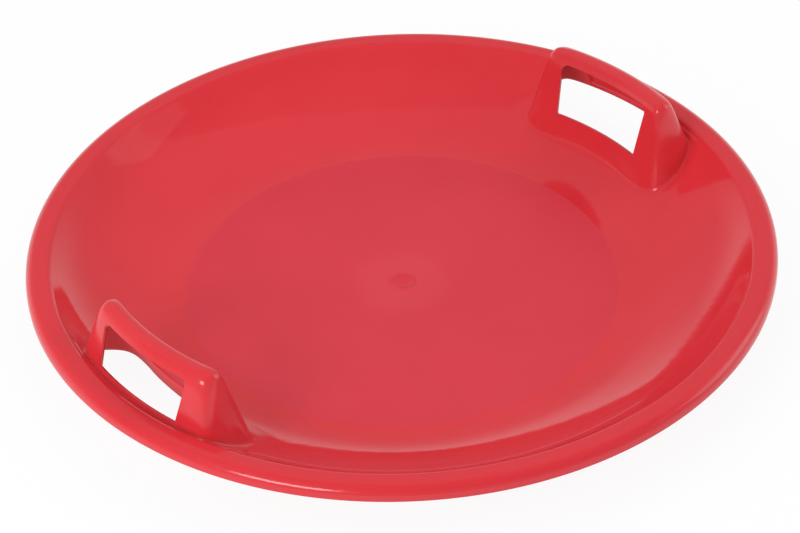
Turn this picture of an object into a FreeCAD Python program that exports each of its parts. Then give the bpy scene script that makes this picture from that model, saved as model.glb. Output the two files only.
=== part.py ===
"""Round saucer sled: a thin moulded dish with a rolled rim and two hollow handles.

The sled is one moulding. It is drawn as the solid under its upper skin less the
solid under its lower skin, and is then parted into its floor, wall, rim and the
grips and posts of its handles, which meet face to face.

Frame: millimetres, +Z up, origin on the ground under the middle of the floor.
The handles stand on +X and -X.
"""

import FreeCAD, Part
import math
import os

V = FreeCAD.Vector

# Dish
SLED_DIAMETER = 600.0
SHELL = 3.0
WALL_SPREAD = 124.0
WALL_SWEEP_RADIUS = 120.0
WALL_SLOPE = 36.0

# Rolled rim
SHOULDER_RADIUS = 5.0
FLANGE_WIDTH = 7.0
FLANGE_SLOPE = 12.0
ROLL_RADIUS = 9.0
LIP_DROP = 1.5

# Gate button in the middle of the floor
GATE_DIAMETER = 22.0
GATE_HEIGHT = 1.2

# Handles: their outer walls, before the edges are rounded
GRIP_RISE = 39.5
GRIP_WIDTH = 17.5
GRIP_INSET = 41.5
GRIP_LENGTH = 127.0
GRIP_TOP_FLAT = 3.5
POST_END_FLAT = 1.5
FRONT_DRAFT = 12.9
BACK_DRAFT = 18.6
END_DRAFT = 16.0
FOOT_RADIUS = 4.0

# Growth of the posts' corner radii per millimetre down from the grip
FRONT_CORNER_FLARE = 0.3
BACK_CORNER_FLARE = 0.05

# Hand openings: the sills' depths are below the top of the wall
POST_WIDTH = 14.6
WINDOW_LEAN = 4.8
WINDOW_CORNER = 6.0
SILL_CORNER = 2.0
SILL_DROP = 14.1
BACK_SILL_DROP = 2.4
GRIP_FRONT_DEPTH = 8.4
GRIP_BACK_DEPTH = 7.5

# How far a post's piece reaches out over the wall around its foot
POST_MARGIN = 12.0

SLED_RADIUS = SLED_DIAMETER / 2
FLOOR_RADIUS = SLED_RADIUS - WALL_SPREAD
SLOPE = math.radians(WALL_SLOPE)
FLANGE = math.radians(FLANGE_SLOPE)
REACH = 10 * SHELL
TINY = 0.001
SEAM = 90.0


def rz(radius, height):
    """Point of the dish's half section, in the XZ plane."""
    return V(radius, 0, height)


def line(a, b):
    return Part.LineSegment(a, b).toShape()


def path(corners):
    """Straight edges from each corner to the next."""
    return [line(a, b) for a, b in zip(corners, corners[1:])]


def arc(centre, radius, start, end):
    """Arc about a centre of the half section, by slope angle from the vertical."""
    def at(angle):
        return centre + rz(radius * math.sin(angle), -radius * math.cos(angle))
    return Part.Arc(at(start), at((start + end) / 2), at(end)).toShape()


def along(start, angle, length):
    return start + rz(length * math.cos(angle), length * math.sin(angle))


def inward(angle, length):
    """Step down through the shell, square to a skin of the given slope."""
    return rz(length * math.sin(angle), -length * math.cos(angle))


SWEEP_CENTRE = rz(FLOOR_RADIUS, SHELL + WALL_SWEEP_RADIUS)
SWEEP_END = SWEEP_CENTRE + inward(SLOPE, WALL_SWEEP_RADIUS)
RIM_WIDTH = (SHOULDER_RADIUS * (math.sin(SLOPE) - math.sin(FLANGE)) + FLANGE_WIDTH * math.cos(FLANGE)
             + ROLL_RADIUS * (1 + math.sin(FLANGE)))
RIM_RADIUS = SLED_RADIUS - RIM_WIDTH
WALL_END = along(SWEEP_END, SLOPE, (RIM_RADIUS - SWEEP_END.x) / math.cos(SLOPE))
SHOULDER_CENTRE = WALL_END + inward(SLOPE, SHOULDER_RADIUS)
FLANGE_START = SHOULDER_CENTRE - inward(FLANGE, SHOULDER_RADIUS)
FLANGE_END = along(FLANGE_START, FLANGE, FLANGE_WIDTH)
ROLL_CENTRE = FLANGE_END + inward(FLANGE, ROLL_RADIUS)


# Heights and places that follow from the dish
BELOW = -REACH
HANDLE_TOP = WALL_END.z + GRIP_RISE
ABOVE = HANDLE_TOP + REACH
SILL_HEIGHT = WALL_END.z - SILL_DROP
BACK_SILL_HEIGHT = WALL_END.z - BACK_SILL_DROP
GRIP_BACK = SLED_RADIUS - GRIP_INSET
GRIP_FRONT = GRIP_BACK - GRIP_WIDTH
GRIP_JOINT = (BACK_SILL_HEIGHT + HANDLE_TOP) / 2
POST_FROM = GRIP_FRONT - HANDLE_TOP * math.tan(math.radians(FRONT_DRAFT)) - POST_MARGIN
POST_REACH = GRIP_LENGTH / 2 + HANDLE_TOP * math.tan(math.radians(END_DRAFT)) + POST_MARGIN


def rim_skin(depth):
    """The rim's curve at a depth under the upper skin, from the wall to the lip."""
    shoulder = arc(SHOULDER_CENTRE, SHOULDER_RADIUS - depth, math.pi + SLOPE, math.pi + FLANGE)
    flange = line(FLANGE_START + inward(FLANGE, depth), FLANGE_END + inward(FLANGE, depth))
    roll = arc(ROLL_CENTRE, ROLL_RADIUS - depth, math.pi + FLANGE, math.pi / 2)
    lip_start = ROLL_CENTRE + rz(ROLL_RADIUS - depth, 0)
    lip = line(lip_start, lip_start - rz(0, LIP_DROP))
    return [shoulder, flange, roll, lip]


def revolve(edges):
    """Solid turned about Z from the edges of a closed half section."""
    wire = Part.Wire(Part.__sortEdges__(edges))
    face = Part.Face(wire)
    face.rotate(V(0, 0, 0), V(0, 0, 1), SEAM)
    return face.revolve(V(0, 0, 0), V(0, 0, 1), 360)


def dish_block(depth):
    """Solid under the wall's skin, run on a little past the floor and the rim."""
    inner = FLOOR_RADIUS - REACH
    outer = along(WALL_END, SLOPE, REACH) + inward(SLOPE, depth)
    sweep = arc(SWEEP_CENTRE, WALL_SWEEP_RADIUS + depth, 0, SLOPE)
    corners = [SWEEP_END + inward(SLOPE, depth), outer, rz(outer.x, BELOW), rz(inner, BELOW),
               rz(inner, SHELL - depth), rz(FLOOR_RADIUS, SHELL - depth)]
    return revolve([sweep] + path(corners))


def handle_block(depth):
    """Rounded tapering block inside a handle's walls, at a depth under its outer skin."""
    top = HANDLE_TOP - depth
    height = top - BELOW

    def lean(draft):
        return height * math.tan(math.radians(draft))

    def wall(draft):
        """Shift of a leaning wall's top edge, for a shell taken square to it."""
        angle = math.radians(draft)
        return depth / math.cos(angle) - depth * math.tan(angle)

    back = GRIP_BACK - wall(BACK_DRAFT)
    front = GRIP_FRONT + wall(FRONT_DRAFT)
    half = GRIP_LENGTH / 2 - wall(END_DRAFT)
    section = [rz(front, top), rz(back, top),
               rz(back + lean(BACK_DRAFT), BELOW), rz(front - lean(FRONT_DRAFT), BELOW)]
    ring = revolve(path(section + section[:1]))
    foot = half + lean(END_DRAFT)
    gable = [V(0, -half, top), V(0, half, top), V(0, foot, BELOW), V(0, -foot, BELOW)]
    gable = Part.Face(Part.makePolygon(gable + gable[:1])).extrude(V(SLED_RADIUS, 0, 0))
    block = ring.common(gable).Solids[0]
    narrow = (GRIP_WIDTH - POST_END_FLAT) / 2 - depth
    posts = [edge for edge in block.Edges if edge.BoundBox.ZLength > height / 2]
    for corner in [edge.CenterOfMass for edge in posts]:
        post = min(block.Edges, key=lambda edge: edge.CenterOfMass.distanceToPoint(corner))
        at_front = math.hypot(corner.x, corner.y) < GRIP_FRONT
        flare = FRONT_CORNER_FLARE if at_front else BACK_CORNER_FLARE
        start, end = [narrow + (HANDLE_TOP - vertex.Z) * flare for vertex in post.Vertexes]
        block = block.makeFillet(start, end, [post])
    rim = [edge for edge in block.Edges if edge.BoundBox.ZMin > top - TINY]
    return block.makeFillet((GRIP_WIDTH - GRIP_TOP_FLAT) / 2 - depth, rim)


def turned(shape):
    """Copy of a shape on the other side of the sled."""
    other = shape.copy()
    other.rotate(V(0, 0, 0), V(0, 0, 1), 180)
    return other


def body_block(depth, foot_radius):
    """Solid under the skin of the wall and both handles, rounded where they join."""
    handle = handle_block(depth)
    body = dish_block(depth).fuse([handle, turned(handle)])

    def is_foot(edge):
        box = edge.BoundBox
        return abs(box.Center.x) > FLOOR_RADIUS and box.ZMin > SHELL and box.ZMax < WALL_END.z
    return body.makeFillet(foot_radius, [edge for edge in body.Edges if is_foot(edge)])


def window_prism(bottom, top, near, far):
    """Block along X with the leaning sides of the hand openings."""
    def half(height):
        lean = (HANDLE_TOP - height) * math.tan(math.radians(WINDOW_LEAN))
        return GRIP_LENGTH / 2 - POST_WIDTH - lean
    outline = [V(near, -half(bottom), bottom), V(near, half(bottom), bottom),
               V(near, half(top), top), V(near, -half(top), top)]
    return Part.Face(Part.makePolygon(outline + outline[:1])).extrude(V(far - near, 0, 0))


def rounded_window(bottom, top, near, far):
    """Block of a hand opening, with round upper corners and tighter lower ones."""
    prism = window_prism(bottom, top, near, far)
    for height, radius in ((top, WINDOW_CORNER), (bottom, SILL_CORNER)):
        along_x = [edge for edge in prism.Edges if edge.BoundBox.XLength > (far - near) / 2]
        corners = [edge for edge in along_x if abs(edge.CenterOfMass.z - height) < TINY]
        prism = prism.makeFillet(radius, corners)
    return prism


def hand_openings():
    """Cutters for the front and the back opening of the +X handle. The wall stays whole."""
    middle = (GRIP_FRONT + GRIP_BACK) / 2
    front = rounded_window(SILL_HEIGHT, HANDLE_TOP - GRIP_FRONT_DEPTH, FLOOR_RADIUS, middle)
    back = rounded_window(BACK_SILL_HEIGHT, HANDLE_TOP - GRIP_BACK_DEPTH, middle, SLED_RADIUS)
    return [front, back.cut(dish_block(0))]


def wall_zone():
    """Space between the floor's edge and the rim, where the wall and handles are."""
    corners = [rz(FLOOR_RADIUS, BELOW), rz(FLOOR_RADIUS, ABOVE), rz(RIM_RADIUS, ABOVE), WALL_END,
               WALL_END + inward(SLOPE, (WALL_END.z - BELOW) / math.cos(SLOPE)), rz(FLOOR_RADIUS, BELOW)]
    return revolve(path(corners))


def handle_zones():
    """Spaces of the +X handle's grip, its two posts and the ledge behind its opening."""
    between = window_prism(BELOW, ABOVE, FLOOR_RADIUS, SLED_RADIUS)
    over = Part.makeBox(SLED_RADIUS, SLED_DIAMETER, ABOVE, V(0, -SLED_RADIUS, GRIP_JOINT))
    grip = between.common(over)
    behind = Part.makeBox(SLED_RADIUS, SLED_DIAMETER, GRIP_JOINT - BELOW, V(GRIP_BACK, -SLED_RADIUS, BELOW))
    ledge = between.common(behind)
    inner = Part.makeCylinder(POST_FROM, ABOVE - BELOW, V(0, 0, BELOW))
    posts = []
    for side in (-1, 1):
        corner = V(0, min(0, side * POST_REACH), BELOW)
        block = Part.makeBox(SLED_RADIUS, POST_REACH, ABOVE - BELOW, corner)
        posts.append(block.cut([between, inner]))
    return grip, posts, ledge


def make_floor():
    """Flat disc that slides on the snow, with the gate button on it."""
    disc = Part.makeCylinder(FLOOR_RADIUS, SHELL)
    button = Part.makeCylinder(GATE_DIAMETER / 2, SHELL + GATE_HEIGHT)
    top = [edge for edge in button.Edges if edge.BoundBox.ZMin > SHELL + GATE_HEIGHT - TINY]
    return disc.fuse(button.makeFillet(GATE_HEIGHT / 2, top)).removeSplitter()


def make_rim():
    """Rolled edge outside the wall, with its short hanging lip."""
    upper = rim_skin(0)
    lower = rim_skin(SHELL)
    lip = ROLL_CENTRE + rz(ROLL_RADIUS, -LIP_DROP)
    ends = [line(WALL_END, WALL_END + inward(SLOPE, SHELL)), line(lip, lip - rz(SHELL, 0))]
    return revolve(upper + lower + ends)


def make_moulding():
    """The wall with both handles, hollow from below and open for the hands."""
    shell = body_block(0, FOOT_RADIUS).cut(body_block(SHELL, FOOT_RADIUS + SHELL))
    openings = hand_openings()
    shell = shell.cut(openings + [turned(opening) for opening in openings])
    return shell.common(wall_zone())


def make_nodes():
    """Every named piece of the sled, by node name."""
    moulding = make_moulding()
    grip, (low_post, high_post), ledge = handle_zones()
    zones = {
        "right_handle_grip": grip,
        "right_handle_front_post": low_post,
        "right_handle_rear_post": high_post,
        "left_handle_grip": turned(grip),
        "left_handle_front_post": turned(high_post),
        "left_handle_rear_post": turned(low_post),
    }
    ledges = [ledge, turned(ledge)]
    nodes = {name: moulding.common(zone) for name, zone in zones.items()}
    nodes["sliding_floor"] = make_floor()
    nodes["flared_wall"] = moulding.cut(list(zones.values()) + ledges)
    nodes["rolled_rim"] = make_rim().fuse([moulding.common(zone) for zone in ledges])
    return nodes


os.makedirs("parts", exist_ok=True)
for node, shape in make_nodes().items():
    shape.exportStep("parts/%s.step" % node)
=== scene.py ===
"""Round saucer sled in glossy red moulded plastic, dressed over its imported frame.

The whole upper skin is modelled as one cage: the dish is drawn out ring by ring, the
two handles are drawn up out of its wall, and the hand openings are cut through. The
skin is then parted into the frame's named pieces, and each piece gets the shell's
thickness. Everything is in metres, in the frame's own axes.
"""

from __future__ import annotations

import logging
import math
from collections.abc import Callable
from dataclasses import dataclass, field
from enum import Enum, IntEnum

import bmesh
import bpy
import numpy as np
from mathutils import Matrix, Vector

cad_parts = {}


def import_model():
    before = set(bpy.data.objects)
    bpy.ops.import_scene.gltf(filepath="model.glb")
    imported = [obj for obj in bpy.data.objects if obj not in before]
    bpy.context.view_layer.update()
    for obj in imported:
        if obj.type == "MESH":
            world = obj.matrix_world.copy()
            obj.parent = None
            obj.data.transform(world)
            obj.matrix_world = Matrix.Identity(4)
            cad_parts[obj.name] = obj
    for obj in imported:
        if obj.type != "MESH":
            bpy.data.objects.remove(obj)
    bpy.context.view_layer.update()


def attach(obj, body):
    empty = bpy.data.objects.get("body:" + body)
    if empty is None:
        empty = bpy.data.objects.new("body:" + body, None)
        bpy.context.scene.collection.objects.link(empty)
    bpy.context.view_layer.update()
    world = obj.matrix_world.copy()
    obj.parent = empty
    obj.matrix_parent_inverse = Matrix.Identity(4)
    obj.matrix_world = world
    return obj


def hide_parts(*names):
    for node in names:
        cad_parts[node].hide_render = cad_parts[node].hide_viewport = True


LOG = logging.getLogger("saucer_sled")
WHITE = (1.0, 1.0, 1.0, 1.0)
BODY = "root"
PHOTO_WIDTH = 800.0
CUT_GAP = 1e-6
RAISED = 0.01
SPOT_ROUGHNESS = 0.55


class Side(Enum):
    """A handle's side of the sled, with its direction along X."""

    RIGHT = 1
    LEFT = -1


class Opening(Enum):
    """A handle's hand openings, through its front and through its back."""

    FRONT = "front"
    BACK = "back"


class Loop(IntEnum):
    """Loops of a handle's cage, from the dish up to the crown of the grip."""

    DISH = 0
    BLEND = 1
    FOOT = 2
    WALL_LOW = 3
    WALL_MID = 4
    WALL_TOP = 5
    CROWN = 6


class Region(Enum):
    """Parts of the skin, with the names of the nodes that they stand for."""

    WALL = "flared_wall"
    FLOOR = "sliding_floor"
    RIM = "rolled_rim"
    RIGHT_GRIP = "right_handle_grip"
    RIGHT_FRONT_POST = "right_handle_front_post"
    RIGHT_REAR_POST = "right_handle_rear_post"
    LEFT_GRIP = "left_handle_grip"
    LEFT_FRONT_POST = "left_handle_front_post"
    LEFT_REAR_POST = "left_handle_rear_post"

    @property
    def number(self) -> int:
        """Number of the region in the skin's attribute."""
        return list(Region).index(self)


def smooth_step(low: float, high: float, value: float) -> float:
    """Ease from 0 at low to 1 at high.

    Args:
        low: Value at which the result is 0.
        high: Value at which the result is 1.
        value: Value to look up.

    Returns:
        The eased share, from 0 to 1.
    """
    share = min(max((value - low) / (high - low), 0.0), 1.0)
    return share * share * (3.0 - 2.0 * share)


def cage_growth(turn: float) -> float:
    """Growth of a ring of cage points, a turn apart, that keeps the smoothed ring on its radius."""
    return 3.0 / (2.0 + math.cos(turn))


def deselect_all() -> None:
    """Leave nothing selected and nothing active."""
    bpy.ops.object.select_all(action="DESELECT")
    bpy.context.view_layer.objects.active = None


def make_active(piece: bpy.types.Object) -> None:
    """Select one piece alone and make it active.

    Args:
        piece: Piece to select.
    """
    deselect_all()
    piece.select_set(True)
    bpy.context.view_layer.objects.active = piece


def edit_faces(piece: bpy.types.Object) -> None:
    """Open a piece in edit mode, to select faces, with none selected yet.

    Args:
        piece: Piece to open.
    """
    make_active(piece)
    bpy.ops.object.mode_set(mode="EDIT")
    bpy.ops.mesh.select_mode(type="FACE")
    bpy.ops.mesh.select_all(action="DESELECT")


def new_material(name: str) -> bpy.types.Material:
    """Make a material with a node tree.

    Args:
        name: The material's name.

    Returns:
        The new material.
    """
    material = bpy.data.materials.new(name)
    material.use_nodes = True
    return material


def grey(level: float) -> tuple[float, float, float, float]:
    """Grey of a level, as a colour."""
    return level, level, level, 1.0


@dataclass(frozen=True)
class Bend:
    """A stretch of the wall that bends evenly.

    Attributes:
        end: Radius at which it ends.
        slope: Slope that it ends with.
        steps: Rings of the cage over the stretch.
    """

    end: float
    slope: float
    steps: int


@dataclass
class Dish:
    """Sizes of the floor, wall and rim, and the skin that follows from them."""

    radius: float = 0.2998
    shell: float = 0.003
    floor_radius: float = 0.176
    bends: tuple[Bend, ...] = (
        Bend(0.211, math.radians(19.0), 3),
        Bend(0.241, math.radians(25.5), 2),
        Bend(0.270, math.radians(44.75), 2),
    )
    shoulder_radius: float = 0.005
    flange_width: float = 0.0075
    flange_slope: float = math.radians(2.0)
    roll_radius: float = 0.009
    lip_drop: float = 0.0015
    lip_ring_share: float = 0.6
    gate_radius: float = 0.011
    gate_height: float = 0.0012
    gate_dip: float = 0.0016
    # Each ring of the gate button's top: its share of the radius and of the dip.
    gate_top: tuple[tuple[float, float], ...] = ((0.25, 1.0), (0.5, 0.85), (0.72, 0.3), (0.84, 0.0))
    # Each ring of the button's side and foot: its share of the radius and of the drop.
    gate_side: tuple[tuple[float, float], ...] = ((0.94, 0.3), (1.0, 1.0), (1.12, 1.0))
    floor_rings: int = 6
    floor_ring_power: float = 0.6
    roll_steps: int = 4

    @property
    def slope(self) -> float:
        """Slope of the straight upper part of the wall."""
        return self.bends[-1].slope

    @property
    def rim_radius(self) -> float:
        """Radius at which the straight wall meets the rim's shoulder.

        Returns:
            The distance from the sled's axis.
        """
        shoulder = self.shoulder_radius * (math.sin(self.slope) - math.sin(self.flange_slope))
        flange = self.flange_width * math.cos(self.flange_slope)
        roll = self.roll_radius * (1.0 + math.sin(self.flange_slope))
        return self.radius - shoulder - flange - roll

    def height(self, radius: float) -> float:
        """Height of the upper skin of the floor and wall.

        Args:
            radius: Distance from the sled's axis.

        Returns:
            The skin's height over the ground.
        """
        start, slope, height = self.floor_radius, 0.0, self.shell
        if radius <= start:
            return height
        for bend in self.bends:
            curve = (bend.end - start) / (math.sin(bend.slope) - math.sin(slope))
            turned = math.asin(math.sin(slope) + (min(radius, bend.end) - start) / curve)
            height += curve * (math.cos(slope) - math.cos(turned))
            if radius <= bend.end:
                return height
            start, slope = bend.end, bend.slope
        return height + (radius - start) * math.tan(slope)

    def gate_rings(self) -> list[tuple[float, float]]:
        """Rings of the dished gate button, from its middle out.

        Returns:
            Radius and height of each ring.
        """
        top = self.shell + self.gate_height
        rings = [(self.gate_radius * share, top - self.gate_dip * dip) for share, dip in self.gate_top]
        for share, drop in self.gate_side:
            rings.append((self.gate_radius * share, top - self.gate_height * drop))
        return rings

    def rim_rings(self) -> list[tuple[float, float]]:
        """Rings of the shoulder, flange, roll and lip, from the wall out.

        Returns:
            Radius and height of each ring.
        """
        def step(angle: float, length: float) -> np.ndarray:
            """Step at right angles to a slope, towards its lower side."""
            return length * np.array([math.sin(angle), -math.cos(angle)])

        wall_end = np.array([self.rim_radius, self.height(self.rim_radius)])
        shoulder = wall_end + step(self.slope, self.shoulder_radius)
        middle = (self.slope + self.flange_slope) / 2
        rings = [shoulder - step(middle, self.shoulder_radius)]
        flange_start = shoulder - step(self.flange_slope, self.shoulder_radius)
        level, rise = math.cos(self.flange_slope), math.sin(self.flange_slope)
        run = self.flange_width * np.array([level, rise])
        rings += [flange_start, flange_start + run / 2]
        roll = flange_start + run + step(self.flange_slope, self.roll_radius)
        turn = (self.flange_slope + math.pi / 2) / self.roll_steps
        grown = self.roll_radius * cage_growth(turn)
        for number in range(self.roll_steps):
            rings.append(roll - step(self.flange_slope - number * turn, grown))
        edge = roll + np.array([self.roll_radius, 0.0])
        for share in (0.0, self.lip_ring_share, 1.0):
            rings.append(edge - np.array([0.0, self.lip_drop * share]))
        return [(float(radius), float(height)) for radius, height in rings]

    def rings(self) -> list[tuple[float, float]]:
        """All the cage's rings, from the middle of the floor to the lip.

        Returns:
            Radius and height of each ring.
        """
        rings = self.gate_rings()
        start = rings[-1][0]
        for number in range(1, self.floor_rings + 1):
            share = number / self.floor_rings
            radius = start + (self.floor_radius - start) * share ** self.floor_ring_power
            rings.append((radius, self.shell))
        inner = self.floor_radius
        for bend in self.bends:
            for number in range(1, bend.steps + 1):
                radius = inner + (bend.end - inner) * number / bend.steps
                rings.append((radius, self.height(radius)))
            inner = bend.end
        rings.append((self.rim_radius, self.height(self.rim_radius)))
        return rings + self.rim_rings()


@dataclass
class Handle:
    """Form of one hollow handle, drawn for the +X side.

    A place on its cage is a column along the grip, a row across it from front to
    back, and a loop from the dish up to the crown.
    """

    dish: Dish
    columns: int = 10
    rows: int = 6
    half_angle: float = math.radians(25.0)
    top: float = 0.090
    grip_front: float = 0.241
    grip_back: float = 0.2585
    half_length: float = 0.0635
    front_draft: float = math.tan(math.radians(12.9))
    back_draft: float = math.tan(math.radians(18.6))
    end_draft: float = math.tan(math.radians(16.0))
    corner_radius: float = 0.008
    corner_growth: float = 0.147
    front_flare: float = 0.3
    back_flare: float = 0.05
    post_width: float = 0.0146
    window_lean: float = math.tan(math.radians(4.8))
    window_corner: float = 0.006
    sill: float = 0.0364
    back_sill: float = 0.0481
    front_depth: float = 0.0084
    back_depth: float = 0.0075
    crown_radius: float = 0.007
    crown_round: float = 0.0105
    crown_edge_share: float = 0.8
    crown_row_share: float = 0.8
    apron_blend: float = 0.012
    apron_flat_share: float = 0.2
    foot_blend: float = 0.0055
    back_blend: float = 0.0035
    wall_slack: float = 0.002
    foot_search_steps: int = 40
    corner_cuts: tuple[float, ...] = tuple(
        math.radians(angle) for angle in (0.0, 18.0, 36.0, 54.0, 72.0, 90.0)
    )

    @property
    def grip_middle(self) -> float:
        """Radius of the grip's middle line."""
        return (self.grip_front + self.grip_back) / 2

    def walls(self, height: float) -> tuple[float, float, float]:
        """Sizes of the handle's walls at a height.

        Args:
            height: Height over the ground.

        Returns:
            Their front radius, their back radius and their half length.
        """
        drop = self.top - height
        front = self.grip_front - drop * self.front_draft
        back = self.grip_back + drop * self.back_draft
        return front, back, self.half_length + drop * self.end_draft

    def window_half(self, height: float) -> float:
        """Half width of the hand openings at a height."""
        return self.half_length - self.post_width - (self.top - height) * self.window_lean

    def corner_place(self, high: float) -> float:
        """Y of the middle of the round upper corner of an opening."""
        return self.window_half(high - self.window_corner) - self.window_corner

    def in_opening(self, point: Vector, low: float, high: float) -> bool:
        """Whether a point of the walls is inside an opening's outline.

        Args:
            point: Point to test.
            low: Height of the opening's sill.
            high: Height of its upper edge.

        Returns:
            Whether the opening holds it.
        """
        if point.xy.length >= self.walls(point.z)[1] + self.wall_slack:
            return False
        across = abs(point.y) - self.corner_place(high)
        over = point.z - (high - self.window_corner)
        if across > 0.0 and over > 0.0:
            return all(
                across * math.cos(angle) + over * math.sin(angle) < self.window_corner
                for angle in self.corner_cuts
            )
        return low < point.z < high and abs(point.y) < self.window_half(point.z)

    def by_corner(self, point: Vector, centre: Vector) -> bool:
        """Whether a point is near a round upper corner of an opening.

        Args:
            point: Point to test.
            centre: Middle of the corner's rounding.

        Returns:
            Whether the corner's cuts may reach it.
        """
        away = Vector((point.y - centre.y, point.z - centre.z)).length
        over = point.z > centre.z - self.crown_radius
        return away < 2.0 * self.window_corner and over and point.y * centre.y > 0.0

    def turn(self, row: int) -> float:
        """Direction of a row, from -90 degrees at the front to 90 at the back."""
        return math.pi * (row / self.rows - 0.5)

    def facing(self, row: int) -> float:
        """Direction that a place on an end faces.

        All rows but the middle one are on the posts' round corners.

        Args:
            row: Place across the grip.

        Returns:
            The direction, from -90 degrees at the front to 90 at the back.
        """
        corner = self.rows // 3
        if row <= corner:
            return math.pi / 2 * (row / corner - 1.0)
        return math.pi / 2 * max(0.0, 1.0 - (self.rows - row) / corner)

    def along(self, column: int) -> float:
        """Place of a column along the grip, from -1 at one end to 1 at the other."""
        return 2.0 * column / self.columns - 1.0

    def on_end(self, column: int) -> bool:
        """Whether a column is at either end of the grip."""
        return column in (0, self.columns)

    def spot(self, column: int, row: int, height: float, inset: float = 0.0) -> tuple[float, float]:
        """Radius and Y of a place on the walls at a height.

        Args:
            column: Place along the grip.
            row: Place across the grip.
            height: Height over the ground.
            inset: Distance inside the walls.

        Returns:
            The place's distance from the sled's axis and its Y.
        """
        front, back, half = self.walls(height)
        front, back, half = front + inset, back - inset, half - inset
        drop = self.top - height
        front_corner = self.corner_radius + drop * self.front_flare - inset
        back_corner = self.corner_radius + drop * self.back_flare - inset
        across = row / self.rows
        along = self.along(column)
        if not self.on_end(column):
            corner = front_corner + (back_corner - front_corner) * across
            return front + (back - front) * across, along * (half - corner)
        facing = self.facing(row)
        corner = front_corner if across < 0.5 else back_corner
        centre = front + front_corner if across < 0.5 else back - back_corner
        if across == 0.5:
            return (front + front_corner + back - back_corner) / 2, along * half
        grown = corner * (1.0 + self.corner_growth * math.sin(2.0 * facing) ** 2)
        y = along * (half - corner + grown * math.cos(facing))
        return centre + grown * math.sin(facing), y

    def outward(self, column: int, row: int) -> tuple[float, float]:
        """Direction away from the handle at a place on its walls.

        Args:
            column: Place along the grip.
            row: Place across the grip.

        Returns:
            The direction's share along the radius and along Y.
        """
        if self.on_end(column):
            facing = self.facing(row)
            return math.sin(facing), math.copysign(math.cos(facing), column - self.columns / 2)
        return (-1.0 if row == 0 else 1.0), 0.0

    def foot(self, column: int, row: int) -> float:
        """Height at which a place on the walls meets the dish.

        Args:
            column: Place along the grip.
            row: Place across the grip.

        Returns:
            The height over the ground.
        """
        low, high = self.dish.shell, self.top
        for _ in range(self.foot_search_steps):
            middle = (low + high) / 2
            above = middle > self.dish.height(self.spot(column, row, middle)[0])
            low, high = (low, middle) if above else (middle, high)
        return low

    def blend(self, column: int, row: int) -> float:
        """Reach of the rounding between the dish and a place on the walls.

        Args:
            column: Place along the grip.
            row: Place across the grip.

        Returns:
            The reach, along the dish and up the wall.
        """
        if row == self.rows:
            return self.back_blend
        if row > 0 or self.on_end(column):
            share = row / self.rows
            return self.foot_blend + (self.back_blend - self.foot_blend) * share
        share = smooth_step(self.apron_flat_share, 1.0, abs(self.along(column)))
        return self.apron_blend + (self.foot_blend - self.apron_blend) * share

    def place(self, column: int, row: int, loop: Loop) -> Vector:
        """Point of the cage.

        Args:
            column: Place along the grip.
            row: Place across the grip.
            loop: Loop of the cage.

        Returns:
            The point on the +X handle.
        """
        foot = self.foot(column, row)
        reach = self.blend(column, row)
        if loop == Loop.BLEND:
            radius, y = self.spot(column, row, foot)
            step_radius, step_y = self.outward(column, row)
            radius, y = radius + reach * step_radius, y + reach * step_y
            height = self.dish.height(radius)
        elif loop == Loop.CROWN:
            radius, y, height = self.crown(column, row)
        else:
            start = self.top - self.crown_radius
            height = {
                Loop.FOOT: foot,
                Loop.WALL_LOW: foot + reach,
                Loop.WALL_MID: (foot + reach + start) / 2,
                Loop.WALL_TOP: start,
            }[loop]
            radius, y = self.spot(column, row, height)
        return Vector((math.sqrt(radius ** 2 - y ** 2), y, height))

    def crown(self, column: int, row: int) -> tuple[float, float, float]:
        """Place on the rounded top of the grip.

        Args:
            column: Place along the grip.
            row: Place across the grip.

        Returns:
            The place's distance from the sled's axis, its Y and its height.
        """
        shoulder = self.crown_radius * (1.0 - math.sqrt(0.5)) * self.crown_edge_share
        if self.on_end(column) or row in (0, self.rows):
            radius, y = self.spot(column, row, self.top, shoulder)
            return radius, y, self.top - self.crown_drop(radius)
        front, back, half = self.walls(self.top)
        across = 0.5 + 0.5 * math.sin(self.turn(row)) * self.crown_row_share
        radius = front + (back - front) * across
        y = self.along(column) * (half - self.corner_radius)
        return radius, y, self.top - self.crown_drop(radius)

    def crown_drop(self, radius: float) -> float:
        """Drop of the grip's round top below its ridge."""
        away = radius - self.grip_middle
        return self.crown_round - math.sqrt(self.crown_round ** 2 - away ** 2)


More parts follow.
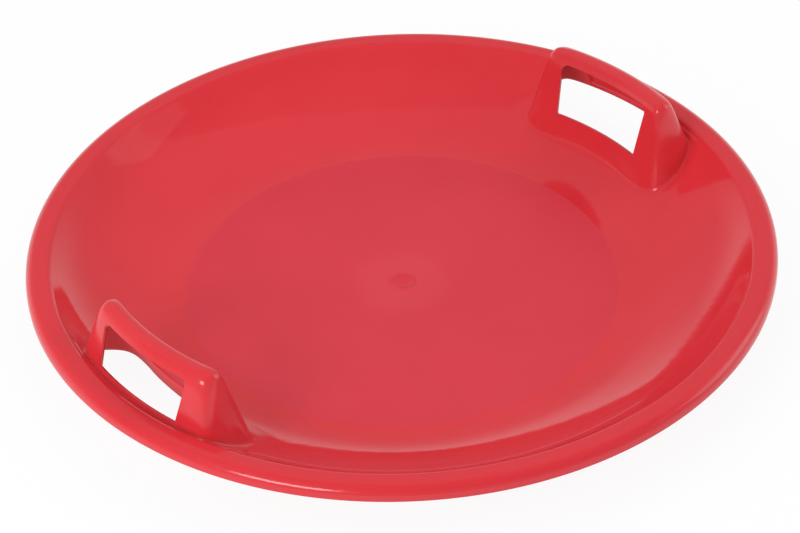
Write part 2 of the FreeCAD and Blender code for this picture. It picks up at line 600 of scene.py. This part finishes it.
@dataclass
class Skin:
    """The sled's upper skin, from its coarse cage to the parted pieces."""

    dish: Dish
    handle: Handle
    segments: int = 72
    levels: int = 2
    gate_margin: float = 1.1
    settle_fade: float = 0.5
    edge_round: float = 0.8
    piece: bpy.types.Object = field(init=False)

    def build(self) -> None:
        """Model the cage, smooth it and cut the hand openings."""
        self.draw_dish()
        self.draw_handles()
        self.smooth()
        self.settle()
        for side in Side:
            self.cut_openings(side)

    @property
    def ring_growth(self) -> float:
        """Growth of the dish's rings that keeps the smoothed dish on its radii."""
        return cage_growth(2.0 * math.pi / self.segments)

    def draw_dish(self) -> None:
        """Draw the dish out ring by ring from a small disc."""
        rings = self.dish.rings()
        deselect_all()
        radius, height = rings[0]
        bpy.ops.mesh.primitive_circle_add(
            vertices=self.segments, radius=radius * self.ring_growth, fill_type="TRIFAN",
        )
        self.piece = bpy.context.active_object
        self.piece.name = "sled_skin"
        bpy.ops.object.mode_set(mode="EDIT")
        bpy.ops.mesh.select_mode(type="EDGE")
        bpy.ops.mesh.select_all(action="SELECT")
        bpy.ops.transform.translate(value=(0.0, 0.0, height))
        bpy.ops.mesh.region_to_loop()
        for (radius, height), (next_radius, next_height) in zip(rings, rings[1:]):
            rise = (0.0, 0.0, next_height - height)
            bpy.ops.mesh.extrude_region_move(TRANSFORM_OT_translate={"value": rise})
            ratio = next_radius / radius
            centre = (0.0, 0.0, next_height)
            bpy.ops.transform.resize(value=(ratio, ratio, 1.0), center_override=centre)
        bpy.ops.mesh.select_all(action="SELECT")
        bpy.ops.mesh.normals_make_consistent(inside=False)
        bpy.ops.object.mode_set(mode="OBJECT")

    def zone_rows(self) -> list[float]:
        """Rings that a handle's rows start from.

        Returns:
            The radius of each ring.
        """
        radii = [ring[0] for ring in self.dish.rings()]
        last = radii.index(self.dish.rim_radius)
        return radii[last - self.handle.rows:last + 1]

    def draw_handles(self) -> None:
        """Draw both handles up out of the wall, loop by loop."""
        for name, kind in (("column", "INT"), ("row", "INT"), ("side", "INT"), ("loop", "FLOAT")):
            self.piece.data.attributes.new(name, kind, "POINT")
        edit_faces(self.piece)
        self.mark_zones()
        for loop in list(Loop)[1:]:
            bpy.ops.mesh.extrude_region_move()
            self.mark_loop(loop)
        self.place_handles()
        bpy.ops.object.mode_set(mode="OBJECT")

    def mark_zones(self) -> None:
        """Select the wall's faces under each handle and number their places."""
        rows = self.zone_rows()
        grid = bmesh.from_edit_mesh(self.piece.data)
        layers = grid.verts.layers.int
        column_of, row_of, side_of = layers["column"], layers["row"], layers["side"]
        step = 2.0 * self.handle.half_angle / self.handle.columns
        for face in grid.faces:
            middle = face.calc_center_median()
            angle = math.atan2(middle.y, abs(middle.x))
            on_rows = rows[0] < middle.xy.length < rows[-1]
            if not (on_rows and abs(angle) < self.handle.half_angle):
                continue
            face.select_set(True)
            side = Side.RIGHT if middle.x > 0.0 else Side.LEFT
            for vert in face.verts:
                turned = math.atan2(side.value * vert.co.y, side.value * vert.co.x)
                gaps = [abs(vert.co.xy.length - radius * self.ring_growth) for radius in rows]
                vert[column_of] = round((turned + self.handle.half_angle) / step)
                vert[row_of] = gaps.index(min(gaps))
                vert[side_of] = side.value
        bmesh.update_edit_mesh(self.piece.data)

    def mark_loop(self, loop: Loop) -> None:
        """Number the loop of the points that were drawn up last.

        Args:
            loop: Loop that they make.
        """
        grid = bmesh.from_edit_mesh(self.piece.data)
        loop_of = grid.verts.layers.float["loop"]
        for vert in grid.verts:
            if vert.select:
                vert[loop_of] = float(loop)

    def place_handles(self) -> None:
        """Move every point of the handles' cages to its place."""
        grid = bmesh.from_edit_mesh(self.piece.data)
        layers = grid.verts.layers
        column_of, row_of, side_of = layers.int["column"], layers.int["row"], layers.int["side"]
        loop_of = layers.float["loop"]
        for vert in grid.verts:
            loop = Loop(round(vert[loop_of]))
            if loop == Loop.DISH:
                continue
            point = self.handle.place(vert[column_of], vert[row_of], loop)
            vert.co = (vert[side_of] * point.x, vert[side_of] * point.y, point.z)
        bmesh.update_edit_mesh(self.piece.data)

    def smooth(self) -> None:
        """Turn the cage into the smooth skin."""
        make_active(self.piece)
        modifier = self.piece.modifiers.new("smooth", "SUBSURF")
        modifier.levels = self.levels
        modifier.render_levels = self.levels
        bpy.ops.object.modifier_apply(modifier=modifier.name)

    def settle(self) -> None:
        """Lay the floor and wall exactly on the dish's own curve."""
        mesh = self.piece.data
        loops = mesh.attributes["loop"].data
        start = self.dish.gate_rings()[-1][0] * self.gate_margin
        for vert in mesh.vertices:
            radius = vert.co.xy.length
            if not start < radius < self.dish.rim_radius:
                continue
            weight = 1.0 - smooth_step(self.settle_fade, Loop.BLEND, loops[vert.index].value)
            vert.co.z += weight * (self.dish.height(radius) - vert.co.z)

    def cut_openings(self, side: Side) -> None:
        """Cut the front and back hand openings of one handle.

        Args:
            side: Handle to cut.
        """
        form = self.handle
        edit_faces(self.piece)
        for hand in (-1.0, 1.0):
            edge = Vector((0.0, hand * form.window_half(form.sill), form.sill))
            self.select_handle(side, *Opening)
            self.cut(edge, Vector((0.0, hand, -form.window_lean)))
        for opening, heights in self.openings().items():
            for height in heights:
                self.select_handle(side, opening)
                self.cut(Vector((0.0, 0.0, height)), Vector((0.0, 0.0, 1.0)))
        for opening, heights in self.openings().items():
            self.round_corners(side, opening)
            self.select_handle(side, opening)
            self.narrow(lambda middle, edges=heights: form.in_opening(middle, *edges))
            bpy.ops.mesh.delete(type="FACE")
        bpy.ops.object.mode_set(mode="OBJECT")

    def round_corners(self, side: Side, opening: Opening) -> None:
        """Cut the skin along the round upper corners of an opening.

        Args:
            side: Handle to cut.
            opening: Opening whose corners they are.
        """
        form = self.handle
        high = self.openings()[opening][1]
        for hand in (-1.0, 1.0):
            centre = Vector((0.0, hand * form.corner_place(high), high - form.window_corner))
            for angle in form.corner_cuts:
                toward = Vector((0.0, hand * math.cos(angle), math.sin(angle)))
                self.select_handle(side, opening)
                self.narrow(lambda middle, corner=centre: form.by_corner(middle, corner))
                self.cut(centre + toward * form.window_corner, toward)

    def openings(self) -> dict[Opening, tuple[float, float]]:
        """Heights of the hand openings.

        Returns:
            The lowest and the highest edge of each opening.
        """
        form = self.handle
        return {
            Opening.FRONT: (form.sill, form.top - form.front_depth),
            Opening.BACK: (form.back_sill, form.top - form.back_depth),
        }

    def cut(self, place: Vector, facing: Vector) -> None:
        """Cut the selected faces along a plane."""
        bpy.ops.mesh.bisect(plane_co=place, plane_no=facing, threshold=CUT_GAP)

    def select_handle(self, side: Side, *halves: Opening) -> None:
        """Select the faces of a handle's cage.

        Args:
            side: Handle to select.
            halves: Halves of it to select, the front or the back one or both.
        """
        bpy.ops.mesh.select_all(action="DESELECT")
        grid = bmesh.from_edit_mesh(self.piece.data)
        loop_of = grid.verts.layers.float["loop"]
        for face in grid.faces:
            centre = face.calc_center_median()
            raised = max(vert[loop_of] for vert in face.verts) > RAISED
            half = Opening.FRONT if centre.xy.length < self.handle.grip_middle else Opening.BACK
            if raised and centre.x * side.value > 0.0 and half in halves:
                face.select_set(True)
        bmesh.update_edit_mesh(self.piece.data)

    def narrow(self, test: Callable[[Vector], bool]) -> None:
        """Keep selected only the faces whose middle passes a test.

        Args:
            test: Test of a face's middle.
        """
        grid = bmesh.from_edit_mesh(self.piece.data)
        for face in [face for face in grid.faces if face.select]:
            if not test(face.calc_center_median()):
                face.select_set(False)
        bmesh.update_edit_mesh(self.piece.data)

    def region(self, centre: Vector, raised: bool) -> Region:
        """Region that a face of the skin belongs to.

        Args:
            centre: Middle of the face.
            raised: Whether the face is part of a handle's cage.

        Returns:
            The face's region.
        """
        radius = centre.xy.length
        if not raised:
            if radius < self.dish.floor_radius:
                return Region.FLOOR
            return Region.RIM if radius > self.dish.rim_radius else Region.WALL
        side = Side.RIGHT if centre.x > 0.0 else Side.LEFT
        if abs(centre.y) > self.handle.window_half(centre.z):
            end = "REAR" if centre.y > 0.0 else "FRONT"
            return Region[f"{side.name}_{end}_POST"]
        if centre.z > (self.handle.back_sill + self.handle.top) / 2:
            return Region[f"{side.name}_GRIP"]
        return Region.WALL if radius < self.handle.grip_back else Region.RIM

    def part(self) -> dict[Region, bpy.types.Object]:
        """Part the skin into its pieces and give each the shell's thickness.

        Returns:
            The finished piece of each region.
        """
        mesh = self.piece.data
        self.keep_normals()
        loops = mesh.attributes["loop"].data
        regions = []
        for face in mesh.polygons:
            raised = max(loops[index].value for index in face.vertices) > RAISED
            regions.append(self.region(face.center, raised).number)
        mesh.attributes.new("region", "INT", "FACE").data.foreach_set("value", regions)
        pieces = {}
        for region in list(Region)[1:]:
            pieces[region] = self.take_out(region)
        pieces[Region.WALL] = self.piece
        for region, piece in pieces.items():
            piece.name = f"{region.value}_moulding"
            piece.data.name = piece.name
            self.thicken(piece)
        return pieces

    def keep_normals(self) -> None:
        """Keep the whole skin's normals, so that the parting lines don't show."""
        mesh = self.piece.data
        normals = np.empty(3 * len(mesh.vertices), dtype=np.float32)
        mesh.vertex_normals.foreach_get("vector", normals)
        mesh.attributes.new("moulded", "FLOAT_VECTOR", "POINT").data.foreach_set("vector", normals)

    def take_out(self, region: Region) -> bpy.types.Object:
        """Separate one region's faces from the skin.

        Args:
            region: Region to take out.

        Returns:
            The new piece.
        """
        edit_faces(self.piece)
        grid = bmesh.from_edit_mesh(self.piece.data)
        region_of = grid.faces.layers.int["region"]
        for face in grid.faces:
            if face[region_of] == region.number:
                face.select_set(True)
        bmesh.update_edit_mesh(self.piece.data)
        bpy.ops.mesh.separate(type="SELECTED")
        bpy.ops.object.mode_set(mode="OBJECT")
        return next(other for other in bpy.context.selected_objects if other != self.piece)

    def thicken(self, piece: bpy.types.Object) -> None:
        """Give a piece of the skin its thickness and the whole skin's shading.

        Args:
            piece: Piece to finish.
        """
        make_active(piece)
        faces = len(piece.data.polygons)
        points = len(piece.data.vertices)
        modifier = piece.modifiers.new("shell", "SOLIDIFY")
        modifier.thickness = self.dish.shell
        modifier.offset = -1.0
        modifier.use_even_offset = True
        bpy.ops.object.modifier_apply(modifier=modifier.name)
        bpy.ops.object.shade_smooth()
        mesh = piece.data
        for vert in mesh.vertices:
            vert.co.z = max(vert.co.z, 0.0)
        normals = self.shell_normals(mesh, faces, points)
        for name in ("column", "row", "side", "moulded", "region"):
            mesh.attributes.remove(mesh.attributes[name])
        mesh.normals_split_custom_set(normals)
        under = [1.0 if faces <= index < 2 * faces else 0.0 for index in range(len(mesh.polygons))]
        mesh.attributes.new("under", "FLOAT", "FACE").data.foreach_set("value", under)

    def shell_normals(self, mesh: bpy.types.Mesh, faces: int, points: int) -> list[Vector]:
        """Normals of a thickened piece, the skin's own on both sides and rounded on the cut edges.

        Args:
            mesh: Mesh of the piece.
            faces: Faces of its upper side, which come first. Those of its underside follow.
            points: Points of its upper side, which come first.

        Returns:
            The normal of each face corner.
        """
        moulded = mesh.attributes["moulded"].data
        normals = [Vector((0.0, 0.0, 0.0))] * len(mesh.loops)
        for face in mesh.polygons:
            for corner in face.loop_indices:
                vertex = mesh.loops[corner].vertex_index
                normal = moulded[vertex].vector
                if face.index < faces:
                    normals[corner] = normal.copy()
                elif face.index < 2 * faces:
                    normals[corner] = -normal
                else:
                    turn = 1.0 if vertex < points else -1.0
                    normals[corner] = (face.normal + self.edge_round * turn * normal).normalized()
        return normals


class Value:
    """A number in a shader graph. Arithmetic on it adds Math nodes."""

    def __init__(self, graph: Graph, socket: bpy.types.NodeSocket) -> None:
        """Wrap an output socket of a graph."""
        self.graph = graph
        self.socket = socket

    def maths(self, operation: str, first: Number, second: Number = 0.0) -> Value:
        """Add a Math node.

        Args:
            operation: The node's operation.
            first: First number or value.
            second: Second number or value.

        Returns:
            The node's result.
        """
        node = self.graph.node("ShaderNodeMath", {"operation": operation}, {0: first, 1: second})
        return Value(self.graph, node.outputs[0])

    def __add__(self, other: Number) -> Value:
        """Sum."""
        return self.maths("ADD", self, other)

    def __radd__(self, other: Number) -> Value:
        """Sum, with the value second."""
        return self.maths("ADD", other, self)

    def __sub__(self, other: Number) -> Value:
        """Difference."""
        return self.maths("SUBTRACT", self, other)

    def __rsub__(self, other: Number) -> Value:
        """Difference, with the value second."""
        return self.maths("SUBTRACT", other, self)

    def __mul__(self, other: Number) -> Value:
        """Product."""
        return self.maths("MULTIPLY", self, other)

    def __rmul__(self, other: Number) -> Value:
        """Product, with the value second."""
        return self.maths("MULTIPLY", other, self)

    def ramp(self, low: float, high: float) -> Value:
        """Ease from 0 where the value is low to 1 where it is high.

        Args:
            low: Value at which the result is 0.
            high: Value at which the result is 1.

        Returns:
            The eased share, from 0 to 1.
        """
        node = self.graph.node(
            "ShaderNodeMapRange", {"interpolation_type": "SMOOTHSTEP"},
            {"Value": self, "From Min": low, "From Max": high, "To Min": 0.0, "To Max": 1.0},
        )
        return Value(self.graph, node.outputs["Result"])

    def highest(self, other: Number) -> Value:
        """The larger of this and another."""
        return self.maths("MAXIMUM", self, other)


Number = float | Value


class Graph:
    """A node tree being built."""

    def __init__(self, tree: bpy.types.NodeTree) -> None:
        """Start on a node tree."""
        self.tree = tree

    def node(
        self, kind: str, settings: dict | None = None, inputs: dict | None = None,
    ) -> bpy.types.Node:
        """Add a node.

        Args:
            kind: The node's type.
            settings: Settings of the node, set before its sockets.
            inputs: Numbers, colours, values or sockets for its inputs, by name or number.

        Returns:
            The new node.
        """
        node = self.tree.nodes.new(kind)
        for name, setting in (settings or {}).items():
            setattr(node, name, setting)
        for name, value in (inputs or {}).items():
            self.feed(node.inputs[name], value)
        return node

    def feed(self, socket: bpy.types.NodeSocket, value: object) -> None:
        """Link a value or socket to an input, or set the input to a constant.

        Args:
            socket: Input to feed.
            value: Value, socket, number or colour.
        """
        if isinstance(value, Value):
            value = value.socket
        if isinstance(value, bpy.types.NodeSocket):
            self.tree.links.new(value, socket)
        else:
            socket.default_value = value

    def attribute(self, name: str) -> Value:
        """One of the mesh's own attributes."""
        node = self.node("ShaderNodeAttribute", {"attribute_name": name})
        return Value(self, node.outputs["Fac"])

    def noise(self, place: bpy.types.NodeSocket, scale: float, detail: float = 2.0) -> Value:
        """Soft random spots.

        Args:
            place: Coordinates to read.
            scale: Spots per metre.
            detail: Finer layers added to the spots.

        Returns:
            The spots, from 0 to 1.
        """
        inputs = {"Vector": place, "Scale": scale, "Detail": detail, "Roughness": SPOT_ROUGHNESS}
        return Value(self, self.node("ShaderNodeTexNoise", {}, inputs).outputs["Fac"])

    def stretched(
        self, place: bpy.types.NodeSocket, scale: tuple[float, float, float], turn: float,
    ) -> bpy.types.NodeSocket:
        """Coordinates turned about Z and stretched.

        Args:
            place: Coordinates to start from.
            scale: Scale along each axis after the turn.
            turn: Turn about Z.

        Returns:
            The new coordinates.
        """
        inputs = {"Vector": place, "Rotation": (0.0, 0.0, turn), "Scale": scale}
        return self.node("ShaderNodeMapping", {"vector_type": "POINT"}, inputs).outputs["Vector"]

    def mix(self, share: Number, first: object, second: object) -> bpy.types.NodeSocket:
        """Blend two colours.

        Args:
            share: Share of the second colour.
            first: First colour.
            second: Second colour.

        Returns:
            The blended colour.
        """
        node = self.node("ShaderNodeMix", {"data_type": "RGBA"}, {0: share, 6: first, 7: second})
        return node.outputs[2]

    def surface(self, shader: bpy.types.NodeSocket) -> None:
        """Give the material its surface."""
        self.feed(self.tree.nodes["Material Output"].inputs["Surface"], shader)


@dataclass(frozen=True)
class Spots:
    """Random spots in a finish.

    Attributes:
        scale: Spots per metre.
        detail: Finer layers added to the spots.
        low: Noise at which a spot starts.
        high: Noise at which it is full.
    """

    scale: float
    detail: float
    low: float
    high: float

    def value(self, graph: Graph, place: bpy.types.NodeSocket) -> Value:
        """Strength of the spots, from 0 to 1."""
        return graph.noise(place, self.scale, self.detail).ramp(self.low, self.high)


PALE_RED = (0.80, 0.12, 0.13, 1.0)
DEEP_RED = (0.62, 0.018, 0.03, 1.0)
PLASTIC_IOR = 1.5
CLOUDS = Spots(9.0, 3.0, 0.35, 0.7)
SMEARS = Spots(23.0, 4.0, 0.4, 0.75)
SMEAR_SHARE = 0.5
HAIRLINES = Spots(1.0, 1.0, 0.68, 0.74)
HAIRLINE_RUNS = ((0.5, (9.0, 420.0, 9.0)), (-0.9, (7.0, 510.0, 7.0)))
HAIRLINE_TINT = 0.04
GATE_EDGE = (0.0095, 0.0112)
GATE_TINT = 0.5
GATE_SHINE = 0.32
BLUSH_EDGE = (0.036, 0.054)
BLUSH_SCALE = 30.0
BLUSH_WANDER = 0.014
RIM_EDGE = (0.282, 0.288)
# Painted shade: share of the deeper red mixed into the rim's colour, darkening the rim where the lamps
# light it brightly.
RIM_PAINTED_SHADE = 0.4
PEEL_SCALE = 130.0
PEEL_SHARE = 0.5
GRAIN_SCALE = 1400.0
BUMP_STRENGTH = 0.12
BUMP_HEIGHT = 0.0006


@dataclass(frozen=True)
class PlasticFinish:
    """A moulded plastic: its colour, gloss and small marks.

    Attributes:
        name: The material's name.
        slot: Name of a material slot. Not used.
        colour: Main colour.
        shade: Colour of the darker clouds in the plastic.
        roughness: Roughness of the clean surface.
        scuff: Roughness that scuffs add.
        under: Roughness that the underside adds.
        grain: Size of the fine grain's bump.
        haze: Roughness that the handles and the rim add.
        gate_blush: Share of the paler colour round the moulding gate.
    """

    name: str
    slot: str
    colour: tuple[float, float, float, float]
    shade: tuple[float, float, float, float]
    roughness: float
    scuff: float
    under: float
    grain: float
    haze: float = 0.0
    gate_blush: float = 0.0

    def material(self) -> bpy.types.Material:
        """Make the finish's material.

        Returns:
            The new material.
        """
        material = new_material(self.name)
        graph = Graph(material.node_tree)
        shader = material.node_tree.nodes["Principled BSDF"]
        shader.inputs["IOR"].default_value = PLASTIC_IOR
        place = graph.node("ShaderNodeTexCoord").outputs["Object"]
        scratches = self.scratches(graph, place)
        rim = self.away(graph, place).ramp(*RIM_EDGE)
        colour = graph.mix(CLOUDS.value(graph, place), self.colour, self.shade)
        colour = graph.mix(scratches * HAIRLINE_TINT, colour, PALE_RED)
        worn = SMEARS.value(graph, place) * SMEAR_SHARE + scratches
        raised = graph.attribute("loop").ramp(Loop.DISH, Loop.FOOT).highest(rim)
        roughness = self.roughness + self.scuff * worn + self.under * graph.attribute("under")
        roughness = roughness + self.haze * raised
        if self.gate_blush:
            gate = 1.0 - self.away(graph, place).ramp(*GATE_EDGE)
            colour = graph.mix(self.blush(graph, place), colour, PALE_RED)
            colour = graph.mix(gate * GATE_TINT, colour, DEEP_RED)
            roughness = roughness - gate * GATE_SHINE
        # Painted shade: the rim's colour is pulled towards DEEP_RED, standing in for less light falling
        # on it.
        graph.feed(shader.inputs["Base Color"], graph.mix(rim * RIM_PAINTED_SHADE, colour, DEEP_RED))
        graph.feed(shader.inputs["Roughness"], roughness)
        peel = graph.noise(place, PEEL_SCALE) * PEEL_SHARE + graph.noise(place, GRAIN_SCALE) * self.grain
        inputs = {"Strength": BUMP_STRENGTH, "Distance": BUMP_HEIGHT, "Height": peel}
        bump = graph.node("ShaderNodeBump", {}, inputs)
        graph.feed(shader.inputs["Normal"], bump.outputs["Normal"])
        return material

    def scratches(self, graph: Graph, place: bpy.types.NodeSocket) -> Value:
        """Fine hairlines in two directions.

        Args:
            graph: Graph to add to.
            place: Coordinates to read.

        Returns:
            The hairlines, from 0 to 1.
        """
        lines = None
        for turn, scale in HAIRLINE_RUNS:
            streaks = HAIRLINES.value(graph, graph.stretched(place, scale, turn))
            lines = streaks if lines is None else lines.highest(streaks)
        return lines

    def blush(self, graph: Graph, place: bpy.types.NodeSocket) -> Value:
        """Pale round patch about the gate, with a soft edge.

        Args:
            graph: Graph to add to.
            place: Coordinates to read.

        Returns:
            The patch's share of the paler colour.
        """
        wander = graph.noise(place, BLUSH_SCALE) * BLUSH_WANDER
        return self.gate_blush * (1.0 - (self.away(graph, place) + wander).ramp(*BLUSH_EDGE))

    def away(self, graph: Graph, place: bpy.types.NodeSocket) -> Value:
        """Distance from the middle of the sled's underside."""
        length = graph.node("ShaderNodeVectorMath", {"operation": "LENGTH"}, {0: place})
        return Value(graph, length.outputs["Value"])


GLOSS = PlasticFinish(
    name="gloss_red_plastic", slot="gloss_body",
    colour=(0.68, 0.032, 0.043, 1.0), shade=(0.655, 0.029, 0.039, 1.0),
    roughness=0.06, scuff=0.03, under=0.5, grain=0.05, haze=0.1,
)
SATIN = PlasticFinish(
    name="satin_red_plastic", slot="satin_floor",
    colour=(0.645, 0.0255, 0.0465, 1.0), shade=(0.62, 0.023, 0.0425, 1.0),
    roughness=0.46, scuff=0.06, under=0.1, grain=0.5, gate_blush=0.08,
)


@dataclass(frozen=True)
class Lamp:
    """A soft lamp of the studio.

    Attributes:
        name: The lamp's name.
        place: Distances right of, behind and above the sled, as seen from the camera.
        size: Width and height.
        energy: Power in watts.
        mirrored: Whether it shows in the gloss.
    """

    name: str
    place: tuple[float, float, float]
    size: tuple[float, float]
    energy: float
    mirrored: bool


@dataclass
class Studio:
    """Floor, backdrop, ceiling, lamps and camera."""

    azimuth: float = math.radians(-41.5)
    elevation: float = math.radians(38.48)
    roll: float = math.radians(-2.33)
    distance: float = 2.0
    lens: float = 110.7
    sensor: float = 36.0
    shift: tuple[float, float] = (-2.5 / PHOTO_WIDTH, 18.2 / PHOTO_WIDTH)
    floor_size: float = 14.0
    floor_grey: float = 0.9
    floor_glow: float = 0.92
    matt: float = 0.9
    backdrop_radius: float = 3.5
    backdrop_height: float = 1.6
    backdrop_sides: int = 96
    ambient: float = 0.45
    ceiling_grey: float = 0.35
    ceiling_height: float = 2.4
    ceiling_span: tuple[float, float] = (-4.0, 0.64)
    lamps: tuple[Lamp, ...] = (
        Lamp("soft_light", (-1.3, -0.75, 1.25), (1.8, 1.8), 15.0, False),
        Lamp("fill_light", (1.9, -0.4, 0.9), (1.2, 1.2), 8.0, False),
        Lamp("top_light", (0.3, 1.0, 1.9), (1.8, 1.8), 12.0, False),
        Lamp("key_light", (-1.0, -1.55, 0.95), (0.85, 0.5), 12.0, True),
        Lamp("side_light", (2.0, 0.25, 0.85), (1.2, 0.9), 5.0, True),
        Lamp("patch_light", (1.6, 0.46, 1.43), (0.8, 0.6), 0.5, True),
    )

    def build(self) -> None:
        """Make the floor, the backdrop, the light, the ceiling and the camera."""
        self.make_floor()
        self.make_backdrop()
        self.make_world()
        self.make_lights()
        self.make_ceiling()
        self.make_camera()

    def make_floor(self) -> None:
        """Lay a wide white floor that keeps the sled's shadow."""
        deselect_all()
        bpy.ops.mesh.primitive_plane_add(size=self.floor_size)
        floor = bpy.context.active_object
        floor.name = "studio_floor"
        material = new_material("studio_floor")
        graph = Graph(material.node_tree)
        matt = material.node_tree.nodes["Principled BSDF"]
        matt.inputs["Base Color"].default_value = grey(self.floor_grey)
        matt.inputs["Roughness"].default_value = self.matt
        white = graph.node("ShaderNodeEmission", {}, {"Color": WHITE, "Strength": 1.0})
        share = self.seen(graph) * self.floor_glow
        inputs = {0: share, 1: matt.outputs["BSDF"], 2: white.outputs["Emission"]}
        graph.surface(graph.node("ShaderNodeMixShader", {}, inputs).outputs["Shader"])
        floor.data.materials.append(material)

    def make_backdrop(self) -> None:
        """Stand a backdrop behind the floor, for the gloss to mirror.

        It is white at its foot, and as dim as the room at its top.
        """
        half = self.backdrop_height / 2
        deselect_all()
        bpy.ops.mesh.primitive_cylinder_add(
            vertices=self.backdrop_sides, radius=self.backdrop_radius, depth=self.backdrop_height,
            end_fill_type="NOTHING", location=(0.0, 0.0, half),
        )
        backdrop = bpy.context.active_object
        backdrop.name = "studio_backdrop"
        bpy.ops.object.mode_set(mode="EDIT")
        bpy.ops.mesh.select_all(action="SELECT")
        away = self.toward(0.0, 1.0, 0.0)
        bpy.ops.mesh.bisect(plane_co=(0.0, 0.0, 0.0), plane_no=away, clear_inner=True)
        bpy.ops.object.mode_set(mode="OBJECT")
        self.only_mirrored(backdrop)
        material = new_material("studio_backdrop")
        graph = Graph(material.node_tree)
        place = graph.node("ShaderNodeTexCoord").outputs["Object"]
        height = Value(graph, graph.node("ShaderNodeSeparateXYZ", {}, {"Vector": place}).outputs["Z"])
        colour = graph.mix(height.ramp(-half, half), WHITE, grey(self.ambient))
        glow = graph.node("ShaderNodeEmission", {}, {"Color": colour, "Strength": 1.0})
        graph.surface(glow.outputs["Emission"])
        backdrop.data.materials.append(material)

    def only_mirrored(self, screen: bpy.types.Object) -> None:
        """Hide a screen from all but mirrored rays, so that it neither shows nor shades.

        Args:
            screen: Backdrop or ceiling.
        """
        screen.visible_camera = False
        screen.visible_shadow = False
        screen.visible_diffuse = False

    def seen(self, graph: Graph) -> Value:
        """Tell what is looked at from what is lit.

        Args:
            graph: Graph to add to.

        Returns:
            1 for rays from the camera and for mirrored and see-through rays, else 0.
        """
        path = graph.node("ShaderNodeLightPath")
        camera = Value(graph, path.outputs["Is Camera Ray"])
        for name in ("Is Glossy Ray", "Is Transmission Ray"):
            camera = camera.highest(Value(graph, path.outputs[name]))
        return camera

    def make_world(self) -> None:
        """Fill the room with pale light."""
        world = bpy.data.worlds.new("studio")
        bpy.context.scene.world = world
        world.use_nodes = True
        background = world.node_tree.nodes["Background"]
        background.inputs["Color"].default_value = WHITE
        background.inputs["Strength"].default_value = self.ambient

    def toward(self, right: float, back: float, height: float) -> Vector:
        """Point of the room, as seen from the camera.

        Args:
            right: Distance right of the sled.
            back: Distance behind it.
            height: Height over the ground.

        Returns:
            The point in the frame's axes.
        """
        across = Vector((math.cos(self.azimuth), math.sin(self.azimuth), 0.0))
        away = Vector((-math.sin(self.azimuth), math.cos(self.azimuth), 0.0))
        return across * right + away * back + Vector((0.0, 0.0, height))

    def make_lights(self) -> None:
        """Hang the soft lamps round the sled."""
        for lamp in self.lamps:
            deselect_all()
            bpy.ops.object.light_add(type="AREA")
            light = bpy.context.active_object
            light.name = lamp.name
            light.data.shape = "RECTANGLE"
            light.data.size, light.data.size_y = lamp.size
            light.data.energy = lamp.energy
            light.visible_glossy = lamp.mirrored
            light.visible_camera = False
            spot = self.toward(*lamp.place)
            turn = spot.to_track_quat("Z", "Y").to_matrix().to_4x4()
            light.matrix_world = Matrix.Translation(spot) @ turn

    def make_ceiling(self) -> None:
        """Hang a dark ceiling, whose back edge shows in the sled's wall."""
        deselect_all()
        near, far = self.ceiling_span
        bpy.ops.mesh.primitive_plane_add(size=1.0)
        ceiling = bpy.context.active_object
        ceiling.name = "studio_ceiling"
        bpy.ops.object.mode_set(mode="EDIT")
        bpy.ops.mesh.select_all(action="SELECT")
        bpy.ops.transform.resize(value=(self.floor_size, far - near, 1.0))
        bpy.ops.object.mode_set(mode="OBJECT")
        turn = Matrix.Rotation(self.azimuth, 4, "Z")
        middle = self.toward(0.0, (near + far) / 2, self.ceiling_height)
        ceiling.data.transform(Matrix.Translation(middle) @ turn)
        self.only_mirrored(ceiling)
        material = new_material("studio_ceiling")
        shader = material.node_tree.nodes["Principled BSDF"]
        shader.inputs["Base Color"].default_value = grey(self.ceiling_grey)
        shader.inputs["Roughness"].default_value = self.matt
        ceiling.data.materials.append(material)

    def make_camera(self) -> None:
        """Set the camera where the photograph was taken from."""
        away = self.toward(0.0, -math.cos(self.elevation), math.sin(self.elevation))
        data = bpy.data.cameras.new("camera")
        data.sensor_width = self.sensor
        data.lens = self.lens
        data.shift_x, data.shift_y = self.shift
        camera = bpy.data.objects.new("camera", data)
        bpy.context.scene.collection.objects.link(camera)
        turn = (-away).to_track_quat("-Z", "Y").to_matrix().to_4x4()
        roll = Matrix.Rotation(self.roll, 4, "Z")
        camera.matrix_world = Matrix.Translation(away * self.distance) @ turn @ roll
        bpy.context.scene.camera = camera


def main() -> None:
    """Build the sled and its studio."""
    logging.basicConfig(level=logging.INFO)
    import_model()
    dish = Dish()
    skin = Skin(dish, Handle(dish))
    skin.build()
    materials = {finish: finish.material() for finish in (GLOSS, SATIN)}
    for region, piece in skin.part().items():
        finish = SATIN if region == Region.FLOOR else GLOSS
        piece.data.materials.clear()
        piece.data.materials.append(materials[finish])
        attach(piece, BODY)
        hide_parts(region.value)
        LOG.info("%s: %d faces", piece.name, len(piece.data.polygons))
    Studio().build()
    bpy.context.scene.view_settings.view_transform = "Standard"


if __name__ == "__main__":
    main()
